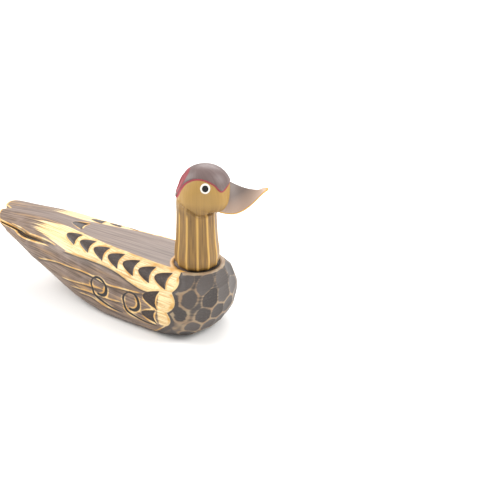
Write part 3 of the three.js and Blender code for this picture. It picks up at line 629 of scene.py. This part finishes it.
def rounded_off(piece, rounds):
    """Each point's place when the piece is rubbed smooth, and its distance in front of that."""
    mesh = piece.data
    count = len(mesh.vertices)
    spots = np.empty(count * 3)
    mesh.vertices.foreach_get("co", spots)
    spots = spots.reshape(-1, 3)
    facing = np.empty(count * 3)
    mesh.vertices.foreach_get("normal", facing)
    facing = facing.reshape(-1, 3)
    ends = np.empty(len(mesh.edges) * 2, np.int64)
    mesh.edges.foreach_get("vertices", ends)
    a, b = ends.reshape(-1, 2).T
    degree = np.bincount(a, minlength=count) + np.bincount(b, minlength=count)
    smooth = spots.copy()
    for _ in range(rounds):
        total = [
            np.bincount(a, smooth[b, k], count) + np.bincount(b, smooth[a, k], count) for k in range(3)
        ]
        smooth = 0.5 * smooth + 0.5 * np.stack(total, -1) / degree[:, None]
    return spots, smooth, np.sum((spots - smooth) * facing, axis=1) / MM


# The edges are worn round, then rubbed back through the stain where they stand proud.
spots, smooth, _ = rounded_off(body, 2)
body.data.vertices.foreach_set("co", smooth.ravel())
body.data.update()
_, _, proud = rounded_off(body, 10)
_, _, broadly = rounded_off(body, 60)
keep(body, "proud", proud)
keep(body, "broadly_proud", broadly)
keep(body, "rubbed", rubbed)
keep(body, "shadowed", np.maximum(shadowed, lobe_groove_shade))
keep(body, "breast", breast)
keep(body, "flat_tone", flat_tone)

# Where the stain was rubbed back to the pale wood: the scales, and streaks behind them.
band_low = along(back, [-5, 12, 26, 46, 57, 71, 86, 103, 118, 150, 190],
                 [22, 23.4, 24.6, 21.4, 19, 18.4, 20, 22.2, 21, 17, 14])
band_top = along(back, [-10, 118, 130, 150, 185], [-1.5, -1, 0.6, 3, 5])
in_band = ease(-1.2, 1.2, band_low - down) * ease(-0.8, 0.8, down - band_top)
fade = 1 - ease(118, 186, back)
big = ease(-1, 1.5, 51 - down) * (1 - ease(8, 13, back)) * ease(-1, 1, down - 2)
pale = np.maximum(in_band * fade, big) * on_side * ease(-1.5, 0, -breast)
keep(body, "pale", pale)
body.data.shade_smooth()


def paint(code, alpha=1.0):
    """An sRGB hex colour as linear values."""
    parts = [int(code[k:k + 2], 16) / 255 for k in (1, 3, 5)]
    return (*[c / 12.92 if c <= 0.04045 else ((c + 0.055) / 1.055) ** 2.4 for c in parts], alpha)


def attribute(tree, name, out="Fac"):
    return add(tree, "ShaderNodeAttribute", out=out, attribute_name=name)


# Stained, brushed and rubbed limewood: matt brown stain that lies deep in the furrows, and pale wood where it is
# rubbed away, under a thin coat of wax. Shade is painted along the feather steps and in the lobe groove.
stain = bpy.data.materials.new("stained_rubbed_limewood")
stain.use_nodes = True
t = stain.node_tree
t.nodes.clear()
lay = attribute(t, "lay", "Vector")
wood = add(t, "ShaderNodeTexCoord", out="Object")


def streaks(tree, coordinates, sizes, detail, seed):
    """Noise drawn out along the wood: sizes are its length and width in millimetres."""
    scale = add(tree, "ShaderNodeVectorMath", [coordinates, tuple(sizes)], operation="DIVIDE")
    return add(tree, "ShaderNodeTexNoise",
               {"Vector": scale, "W": seed, "Scale": 1.0, "Detail": detail, "Roughness": 0.55},
               noise_dimensions="4D")


def blend(tree, share, first, second):
    first = paint(first) if isinstance(first, str) else first
    second = paint(second) if isinstance(second, str) else second
    return add(tree, "ShaderNodeMix", {0: share, 6: first, 7: second}, out=2, data_type="RGBA")


def between(tree, value, low, high, start=0.0, end=1.0):
    return add(tree, "ShaderNodeMapRange", [value, low, high, start, end],
               interpolation_type="SMOOTHSTEP")


brush = streaks(t, lay, (34, 1.3, 1), 3.0, 1.0)
broad = streaks(t, lay, (60, 5.5, 1), 2.0, 2.0)
blotch = streaks(t, lay, (13, 9, 1), 3.0, 3.0)
fleck = streaks(t, lay, (2.2, 1.0, 1), 2.0, 4.0)
panel_grain = streaks(t, wood, (0.05, 0.0016, 0.01), 3.0, 5.0)

# Brown feathers.
brown = blend(t, between(t, brush, 0.3, 0.7), "#4a382c", "#86705f")
brown = blend(t, between(t, blotch, 0.42, 0.75, 0.0, 0.55), brown, "#8d7a70")
ochre_share = sum_up(t, "MULTIPLY", between(t, broad, 0.5, 0.72), between(t, brush, 0.4, 0.66))
brown = blend(t, sum_up(t, "MULTIPLY", ochre_share, 0.8), brown, "#b98c4c")
# Pale scales and streaks.
pale_share = attribute(t, "pale")
broken = sum_up(t, "ADD", pale_share, sum_up(t, "MULTIPLY_ADD", brush, 0.9, -0.45))
cream = blend(t, between(t, brush, 0.3, 0.62), "#b98f55", "#ecd3a0")
cream = blend(t, between(t, fleck, 0.55, 0.7, 0.0, 0.5), cream, "#a67c47")
colour = blend(t, between(t, broken, 0.36, 0.6), brown, cream)
# Back panel and the strip down the tail.
on_panel = between(t, attribute(t, "down_panel"), -0.6, 0.2, 1.0, 0.0)
panel_colour = blend(t, between(t, panel_grain, 0.3, 0.7), "#65544b", "#86756a")
colour = blend(t, on_panel, colour, panel_colour)
# Breast.
flat = attribute(t, "flat_tone")
breast_colour = blend(t, flat, "#2c2420", "#4d4541")
breast_colour = blend(t, between(t, fleck, 0.4, 0.8, 0.0, 0.35), breast_colour, "#5e5550")
on_breast = between(t, attribute(t, "breast"), -0.3, 0.3)
colour = blend(t, on_breast, colour, breast_colour)
# Rubbed edges, painted shade along the foot of each feather step and in the lobe groove, then the cuts that kept their
# stain.
proud_here = attribute(t, "proud")
worn = sum_up(t, "MULTIPLY_ADD", brush, 0.14, -0.07)
worn = sum_up(t, "ADD", proud_here, worn)
edge_share = between(t, worn, 0.05, 0.16)
rub_line = sum_up(t, "MULTIPLY", attribute(t, "rubbed"), between(t, broad, 0.3, 0.55, 0.55, 1.0))
edge_share = sum_up(t, "MAXIMUM", edge_share, between(t, rub_line, 0.35, 0.7))
edge_colour = blend(t, between(t, blotch, 0.4, 0.65), "#c9974c", "#e6c78d")
breast_edge = blend(t, 0.75, edge_colour, "#6d625b")
edge_colour = blend(t, on_breast, edge_colour, breast_edge)
colour = blend(t, edge_share, colour, edge_colour)
shadow = sum_up(t, "MULTIPLY", attribute(t, "shadowed"), 0.85)
colour = blend(t, shadow, colour, "#2b1f16")
cut_share = between(t, attribute(t, "gouge_edge"), -0.25, 0.15, 1.0, 0.0)
cut_colour = blend(t, between(t, fleck, 0.4, 0.7), "#2d2019", "#43332a")
colour = blend(t, cut_share, colour, cut_colour)
curl_share = between(t, attribute(t, "curl_edge"), -0.2, 0.15, 1.0, 0.0)
colour = blend(t, curl_share, colour, "#120e0c")
rough = between(t, brush, 0.2, 0.8, 0.62, 0.42)
grain_height = sum_up(t, "ADD", brush, sum_up(t, "MULTIPLY", fleck, 0.4))
bump = add(t, "ShaderNodeBump", {"Strength": 0.35, "Distance": 0.0002, "Height": grain_height})
surface = add(t, "ShaderNodeBsdfPrincipled",
              {"Base Color": colour, "Roughness": rough, "Normal": bump, "IOR": 1.5,
               "Coat Weight": 0.12, "Coat Roughness": 0.35})
out_node = t.nodes.new("ShaderNodeOutputMaterial")
t.links.new(surface, out_node.inputs["Surface"])
body.data.materials.append(stain)
keep(body, "down_panel", np.where(on_side | (zone == PANEL), down, 50))
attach(body, "root")
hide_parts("body")

# Neck, head and bill. One carved piece: a twelve-sided neck cut with long knife strokes,
# a rounded head with a stepped cap, and a broad bill with an upturned tip. It is seated in
# the round recess of the back. Lengths are along the bill (u), sideways (w) and up (z).
HEAD_TURN = math.radians(34)
NECK_SIDES = 12
NECK_RIDGE_TURN = math.radians(3)
NECK_Z = [56.7, 58.6, 62.5, 81, 100, 113, 122, 131]
NECK_R = [15.2, 17, 17.8, 16.8, 16, 15.9, 14.6, 10]
NECK_TOP = 131
HEAD_U, HEAD_Z = 7, 122
HEAD_LENGTH = 20
HEAD_HALF = 16.6
HEAD_RISE = 19.7
HEAD_DROP = 17.2
CHEEK_SQUARENESS = 3.4
CROWN_SQUARENESS = 2.1
CROWN_BLEND = 0.4
CAP_STEP = 1.1
CAP_EDGE = [
    (30, 131), (24.5, 128), (20.8, 125.8), (14, 131.8), (8.6, 134.6), (3.8, 135.6),
    (-2.4, 134.6), (-7.6, 131.2), (-11.6, 125.4), (-14, 119.6), (-17.6, 111),
]
CAP_NOTCHES = [[(-4.5, 141), (-9, 134), (-14.2, 124)], [(-8.5, 138.5), (-12, 131), (-15.2, 121)]]
JAW_LINE = [(-14, 114), (-11, 112.5), (-5, 109.6), (2, 105.4), (9, 105.2), (15, 106.4)]
JAW_WIDTH = 3.0
JAW_DEPTH = 1.5
EYE = (7.5, 129.4)
EYE_RADIUS = 3.9
PUPIL_RADIUS = 2.55
BILL_AT = [10, 17, 24, 31, 37, 42, 47, 52, 56.4]
BILL_HALF = [9, 11.2, 13, 13.5, 12.5, 10.8, 8.2, 4.8, 0.9]
BILL_RIM_Z = [108.4, 107, 106.1, 106.3, 108.6, 111.5, 115.4, 119.4, 121.6]
BILL_RIDGE_Z = [131, 130.4, 129.6, 126.2, 123.6, 122.2, 121.6, 121.6, 122.2]
BILL_FLANK = [0.45, 0.5, 0.7, 1.1, 1.35, 1.4, 1.3, 1.2, 1]
BILL_ROUND = [2.6, 2.4, 1.7, 1.15, 1, 1, 1, 1, 1]
BILL_EDGE = 1.2
BILL_KEEL = 0.8


def neck_depth(spots):
    """How far points stand out of the faceted neck, in millimetres."""
    x, y, z = np.moveaxis(spots, -1, 0)
    ridge = along(z, NECK_Z, NECK_R)
    wander = 0.012 * np.sin(z / 9) + NECK_RIDGE_TURN
    facet = 2 * math.pi / NECK_SIDES
    turn = np.mod(np.arctan2(y, x) - wander, facet) - facet / 2
    return np.maximum(np.hypot(x, y) - ridge * math.cos(facet / 2) / np.cos(turn), z - NECK_TOP)


def head_depth(spots):
    """How far points stand out of the rounded head, in millimetres."""
    d = spots - [HEAD_U, 0, HEAD_Z]
    way = d / np.maximum(np.linalg.norm(d, axis=-1, keepdims=True), 1e-6)
    crown = ease(-CROWN_BLEND, CROWN_BLEND, way[..., 2])
    power = CHEEK_SQUARENESS + (CROWN_SQUARENESS - CHEEK_SQUARENESS) * crown
    height = np.where(d[..., 2] > 0, HEAD_RISE, HEAD_DROP)
    total = (
        np.abs(d[..., 0] / HEAD_LENGTH) ** power
        + np.abs(d[..., 1] / HEAD_HALF) ** power
        + np.abs(d[..., 2] / height) ** power
    )
    return (total ** (1 / power) - 1) * HEAD_HALF


def carving_depth(spots):
    neck, head = neck_depth(spots), head_depth(spots)
    gap = np.clip(0.5 + 0.5 * (head - neck) / 0.9, 0, 1)
    return head * (1 - gap) + neck * gap - 0.9 * gap * (1 - gap)


def off_line(u, z, line):
    """Signed distance to a line drawn on the side of the head, above it positive."""
    line = np.array(line, float)
    best = np.full(u.shape, 1e6)
    signed = np.zeros(u.shape)
    for (u0, z0), (u1, z1) in zip(line[:-1], line[1:]):
        du, dz = u1 - u0, z1 - z0
        t = np.clip(((u - u0) * du + (z - z0) * dz) / (du * du + dz * dz), 0, 1)
        far = np.hypot(u - u0 - t * du, z - z0 - t * dz)
        turn = du * (z - z0) - dz * (u - u0)
        signed = np.where(far < best, np.where(turn < 0, far, -far), signed)
        best = np.minimum(best, far)
    return signed


cap_curve = smooth_path(CAP_EDGE, 0.8)
jaw_curve = smooth_path(JAW_LINE, 0.8)
notch_curves = [smooth_path(line, 0.8) for line in CAP_NOTCHES]

# The head is carved outwards from its middle line: rays first level, then turning up.
AROUND = 300
angles = np.linspace(0, 2 * math.pi, AROUND, endpoint=False)
neck_rows = np.linspace(56.7, 103.5, 56)
turns = np.linspace(0, 1, 96)[1:-1]
origin_z = np.concatenate([neck_rows, 103.5 + (HEAD_Z - 103.5) * turns])
origin_u = np.concatenate([0 * neck_rows, HEAD_U * turns])
rise = np.concatenate([0 * neck_rows, turns * math.pi / 2])
origin = np.stack([origin_u, 0 * origin_u, origin_z], -1)[:, None, :]
ray = np.stack([
    np.cos(angles) * np.cos(rise)[:, None], np.sin(angles) * np.cos(rise)[:, None],
    np.sin(rise)[:, None] + 0 * angles,
], -1)
near, far = np.zeros(ray.shape[:2]), np.full(ray.shape[:2], 60.0)
for _ in range(34):
    half_way = (near + far) / 2
    inside = carving_depth(origin + ray * half_way[..., None]) < 0
    near, far = np.where(inside, half_way, near), np.where(inside, far, half_way)
spots = origin + ray * near[..., None]
facing = np.cross(np.roll(spots, -1, 1) - np.roll(spots, 1, 1), np.gradient(spots, axis=0))
facing /= np.linalg.norm(facing, axis=2, keepdims=True)
u, w, z = np.moveaxis(spots, -1, 0)
over_cap = off_line(u, z, cap_curve)
lift = CAP_STEP * ease(-0.3, 0.3, over_cap)
jaw = np.abs(off_line(u, z, jaw_curve))
lift -= JAW_DEPTH * np.clip(1 - jaw / (JAW_WIDTH / 2), 0, 1) * ease(3, 7, np.abs(w)) * (z < 118)
for curve in notch_curves:
    notch = np.abs(off_line(u, z, curve))
    lift -= 0.7 * np.clip(1 - notch / 1.1, 0, 1) * (np.abs(w) > 1)
eye_far = np.hypot(u - EYE[0], z - EYE[1])
lift += 0.45 * np.sqrt(np.clip(1 - (eye_far / (EYE_RADIUS + 0.6)) ** 2, 0, 1)) * (z < 136)
spots = spots + facing * lift[..., None]
top = np.array([HEAD_U, 0, HEAD_Z + HEAD_RISE + CAP_STEP])
bottom = np.array([0, 0, neck_rows[0]])
points = np.concatenate([spots.reshape(-1, 3), [top, bottom]])
index = np.arange(spots.shape[0] * AROUND).reshape(-1, AROUND)
wrapped = np.concatenate([index, index[:, :1]], axis=1)
faces = grid_quads(wrapped, True).tolist()
for k in range(AROUND):
    after = (k + 1) % AROUND
    faces.append([index[-1, k], index[-1, after], len(points) - 2])
    faces.append([index[0, after], index[0, k], len(points) - 1])
head = mesh_object("carved_head", points, faces)

# The bill is a loft of sections, from inside the head to the tip.
forward = np.concatenate([np.linspace(10, 52, 64), np.linspace(52, 56.4, 12)[1:]])
share = np.linspace(-1, 1, 41)
half = along(forward, BILL_AT, BILL_HALF)[:, None]
rim = along(forward, BILL_AT, BILL_RIM_Z)[:, None]
ridge = along(forward, BILL_AT, BILL_RIDGE_Z)[:, None]
flank = along(forward, BILL_AT, BILL_FLANK)[:, None]
roundness = along(forward, BILL_AT, BILL_ROUND)[:, None]
body_of_bill = (1 - np.abs(share) ** roundness) ** flank
over = rim + BILL_EDGE + (ridge - rim - BILL_EDGE) * body_of_bill
under_share = np.linspace(0.95, -0.95, 25)
under = rim - BILL_KEEL * (1 - under_share**2)
ring_w = np.concatenate([half * share, half * under_share], axis=1)
ring_z = np.concatenate([over, under], axis=1)
ring_u = np.broadcast_to(forward[:, None], ring_w.shape)
points = np.stack([ring_u, ring_w, ring_z], -1)
count = points.shape[1]
index = np.arange(points.shape[0] * count).reshape(-1, count)
faces = grid_quads(np.concatenate([index, index[:, :1]], axis=1), False).tolist()
ends = [points[0].mean(0), points[-1].mean(0)]
base = points.shape[0] * count
for k in range(count):
    after = (k + 1) % count
    faces.append([index[0, k], index[0, after], base])
    faces.append([index[-1, after], index[-1, k], base + 1])
bill = mesh_object("carved_bill", np.concatenate([points.reshape(-1, 3), ends]), faces)

# Head and bill are one piece of wood, so they are joined as solids. The faces of the bill
# keep a mark, because the bill is painted apart.
golden = bpy.data.materials.new("stained_golden_wood")
for part, slot_number in ((head, 0), (bill, 1)):
    part.data.materials.append(golden)
    part.data.materials.append(golden)
    part.data.polygons.foreach_set("material_index", [slot_number] * len(part.data.polygons))
join = head.modifiers.new("join", "BOOLEAN")
join.operation, join.solver, join.object = "UNION", "EXACT", bill
joined = bpy.data.meshes.new_from_object(head.evaluated_get(bpy.context.evaluated_depsgraph_get()))
head.modifiers.remove(join)
bpy.data.objects.remove(bill)
head.data = joined
marks = np.empty(len(joined.polygons), np.int32)
joined.polygons.foreach_get("material_index", marks)
joined.polygons.foreach_set("material_index", np.zeros(len(marks), np.int32))
joined.materials.pop()
on_bill = joined.attributes.new("on_bill", "FLOAT", "FACE")
on_bill.data.foreach_set("value", marks.astype(np.float32))
spots = np.empty(len(joined.vertices) * 3)
joined.vertices.foreach_get("co", spots)
spots = spots.reshape(-1, 3) / MM
u, w, z = spots.T
facet = 2 * math.pi / NECK_SIDES
ridge_turn = np.mod(np.arctan2(w, u) - NECK_RIDGE_TURN + facet / 2, facet) - facet / 2
keep(head, "ridge", np.abs(ridge_turn) * np.hypot(u, w))
keep(head, "cap", off_line(u, z, cap_curve))
keep(head, "eye", np.where(np.abs(w) > 6, np.hypot(u - EYE[0], z - EYE[1]), 30))
keep(head, "notch", np.minimum.reduce([np.abs(off_line(u, z, curve)) for curve in notch_curves]))
keep(head, "bill_rim", z - along(u, BILL_AT, BILL_RIM_Z))
keep(head, "height", z)
keep(head, "lay", np.column_stack([z, np.arctan2(w, u) * 16, 0 * z]))
turn = np.array([
    [math.cos(HEAD_TURN), math.sin(HEAD_TURN), 0], [-math.sin(HEAD_TURN), math.cos(HEAD_TURN), 0], [0, 0, 1]
])
joined.vertices.foreach_set("co", (spots @ turn * MM).ravel())
joined.update()
_, _, proud = rounded_off(head, 6)
keep(head, "proud", proud)
head.data.shade_smooth()

golden.use_nodes = True
t = golden.node_tree
t.nodes.clear()
lay = add(t, "ShaderNodeAttribute", out="Vector", attribute_name="lay")
drawn = add(t, "ShaderNodeVectorMath", [lay, (30, 1.4, 1)], operation="DIVIDE")
brush = add(t, "ShaderNodeTexNoise", {"Vector": drawn, "W": 11.0, "Scale": 1.0, "Detail": 3.0},
            noise_dimensions="4D")
drawn = add(t, "ShaderNodeVectorMath", [lay, (16, 9, 1)], operation="DIVIDE")
blotch = add(t, "ShaderNodeTexNoise", {"Vector": drawn, "W": 12.0, "Scale": 1.0, "Detail": 3.0},
             noise_dimensions="4D")
share = add(t, "ShaderNodeMapRange", [brush, 0.3, 0.7, 0.0, 1.0])
colour = add(t, "ShaderNodeMix", {0: share, 6: paint("#5e421f"), 7: paint("#9a7436")}, out=2, data_type="RGBA")
share = add(t, "ShaderNodeMapRange", [blotch, 0.4, 0.7, 0.0, 0.7])
colour = add(t, "ShaderNodeMix", {0: share, 6: colour, 7: paint("#7d6030")}, out=2, data_type="RGBA")
near_ridge = add(t, "ShaderNodeAttribute", out="Fac", attribute_name="ridge")
height = add(t, "ShaderNodeAttribute", out="Fac", attribute_name="height")
near_ridge = add(t, "ShaderNodeMapRange", [near_ridge, 0.3, 1.3, 0.85, 0.0])
low = add(t, "ShaderNodeMapRange", [height, 103.0, 107.0, 1.0, 0.0])
share = add(t, "ShaderNodeMath", [near_ridge, low], operation="MULTIPLY")
colour = add(t, "ShaderNodeMix", {0: share, 6: colour, 7: paint("#cfa354")}, out=2, data_type="RGBA")
cheek = add(t, "ShaderNodeMapRange", [height, 106.0, 116.0, 0.0, 0.6])
colour = add(t, "ShaderNodeMix", {0: cheek, 6: colour, 7: paint("#b8924e")}, out=2, data_type="RGBA")
cap_side = add(t, "ShaderNodeAttribute", out="Fac", attribute_name="cap")
on_cap = add(t, "ShaderNodeMapRange", [cap_side, -0.2, 0.2, 0.0, 1.0])
cap_colour = add(t, "ShaderNodeMix", {0: brush, 6: paint("#4b3937"), 7: paint("#7d6a66")}, out=2, data_type="RGBA")
colour = add(t, "ShaderNodeMix", {0: on_cap, 6: colour, 7: cap_colour}, out=2, data_type="RGBA")
edge = add(t, "ShaderNodeMath", [add(t, "ShaderNodeMath", [cap_side], operation="ABSOLUTE"), 0.7], operation="LESS_THAN")
colour = add(t, "ShaderNodeMix", {0: edge, 6: colour, 7: paint("#9a3640")}, out=2, data_type="RGBA")
notch = add(t, "ShaderNodeAttribute", out="Fac", attribute_name="notch")
notch = add(t, "ShaderNodeMapRange", [notch, 0.4, 0.9, 1.0, 0.0])
colour = add(t, "ShaderNodeMix", {0: notch, 6: colour, 7: paint("#8d2f38")}, out=2, data_type="RGBA")
bill_side = add(t, "ShaderNodeAttribute", out="Fac", attribute_name="on_bill")
# The bill's flank is painted lighter near the rim and darker up towards the ridge, as painted shade for how the flank
# faces the light. The orange rim is paint.
rim_near = add(t, "ShaderNodeAttribute", out="Fac", attribute_name="bill_rim")
bill_painted_shade = add(t, "ShaderNodeMapRange", [rim_near, 1.5, 13.0, 0.0, 1.0])
bill_colour = add(t, "ShaderNodeMix", {0: bill_painted_shade, 6: paint("#b19785"), 7: paint("#6d5e56")}, out=2, data_type="RGBA")
rim_share = add(t, "ShaderNodeMapRange", [rim_near, 0.9, 1.5, 1.0, 0.0])
bill_colour = add(t, "ShaderNodeMix", {0: rim_share, 6: bill_colour, 7: paint("#d29a2c")}, out=2, data_type="RGBA")
colour = add(t, "ShaderNodeMix", {0: bill_side, 6: colour, 7: bill_colour}, out=2, data_type="RGBA")
eye_far = add(t, "ShaderNodeAttribute", out="Fac", attribute_name="eye")
ring = add(t, "ShaderNodeMath", [eye_far, EYE_RADIUS], operation="LESS_THAN")
colour = add(t, "ShaderNodeMix", {0: ring, 6: colour, 7: paint("#e8e4da")}, out=2, data_type="RGBA")
pupil = add(t, "ShaderNodeMath", [eye_far, PUPIL_RADIUS], operation="LESS_THAN")
colour = add(t, "ShaderNodeMix", {0: pupil, 6: colour, 7: paint("#0d0b0a")}, out=2, data_type="RGBA")
rough = add(t, "ShaderNodeMix", {0: ring, 2: 0.45, 3: 0.12}, data_type="FLOAT")
surface = add(t, "ShaderNodeBsdfPrincipled", {"Base Color": colour, "Roughness": rough, "IOR": 1.5})
out_node = t.nodes.new("ShaderNodeOutputMaterial")
t.links.new(surface, out_node.inputs["Surface"])
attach(head, "root")
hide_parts("head_and_neck")

# Floor, light and camera: a plain pale floor, broad soft lights, and the view that the
# photograph was taken from.
floor_mesh = bpy.data.meshes.new("floor")
FLOOR = 6.0
floor_mesh.from_pydata([(-FLOOR, -FLOOR, 0), (FLOOR, -FLOOR, 0), (FLOOR, FLOOR, 0), (-FLOOR, FLOOR, 0)], [], [(0, 1, 2, 3)])
floor = bpy.data.objects.new("floor", floor_mesh)
bpy.context.scene.collection.objects.link(floor)
paper = bpy.data.materials.new("white_paper")
paper.use_nodes = True
paper.node_tree.nodes["Principled BSDF"].inputs["Base Color"].default_value = paint("#f4f3f1")
paper.node_tree.nodes["Principled BSDF"].inputs["Roughness"].default_value = 0.9
floor_mesh.materials.append(paper)
floor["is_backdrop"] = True

bpy.context.scene.view_settings.view_transform = "Standard"
world = bpy.data.worlds.new("studio")
bpy.context.scene.world = world
world.use_nodes = True
world.node_tree.nodes["Background"].inputs["Color"].default_value = (1, 1, 1, 1)
world.node_tree.nodes["Background"].inputs["Strength"].default_value = 0.85


def softbox(name, place, aim, size, power):
    light = bpy.data.lights.new(name, "AREA")
    light.shape, light.size, light.size_y, light.energy = "RECTANGLE", size[0], size[1], power
    lamp = bpy.data.objects.new(name, light)
    lamp.location = place
    lamp.rotation_euler = (Vector(aim) - Vector(place)).to_track_quat("-Z", "Y").to_euler()
    bpy.context.scene.collection.objects.link(lamp)


softbox("left_box", (-0.75, -0.45, 0.75), (-0.05, 0, 0.04), (0.6, 0.6), 9)
softbox("right_box", (0.75, 0.35, 0.7), (0, 0, 0.08), (0.6, 0.6), 8)
softbox("back_box", (-0.35, 0.8, 0.8), (-0.05, 0, 0.05), (0.8, 0.5), 8)

AZIMUTH, ELEVATION, DISTANCE = math.radians(34), math.radians(27), 1.4
LENS, SENSOR = 126, 36
away = Vector((math.sin(AZIMUTH) * math.cos(ELEVATION), -math.cos(AZIMUTH) * math.cos(ELEVATION), math.sin(ELEVATION)))
right = Vector((math.cos(AZIMUTH), math.sin(AZIMUTH), 0))
up = away.cross(right)
aim = Vector((0, 0, 0.058)) + right * 0.04216 + up * 0.0092
camera_data = bpy.data.cameras.new("camera")
camera_data.lens, camera_data.sensor_width = LENS, SENSOR
camera_data.clip_end = 30
camera = bpy.data.objects.new("camera", camera_data)
camera.location = aim + away * DISTANCE
camera.rotation_euler = (-away).to_track_quat("-Z", "Y").to_euler()
bpy.context.scene.collection.objects.link(camera)
bpy.context.scene.camera = camera

sizes = {"cad": [list(map(float, c)) for c in cad_box], "visual": [list(map(float, c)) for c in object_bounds()]}
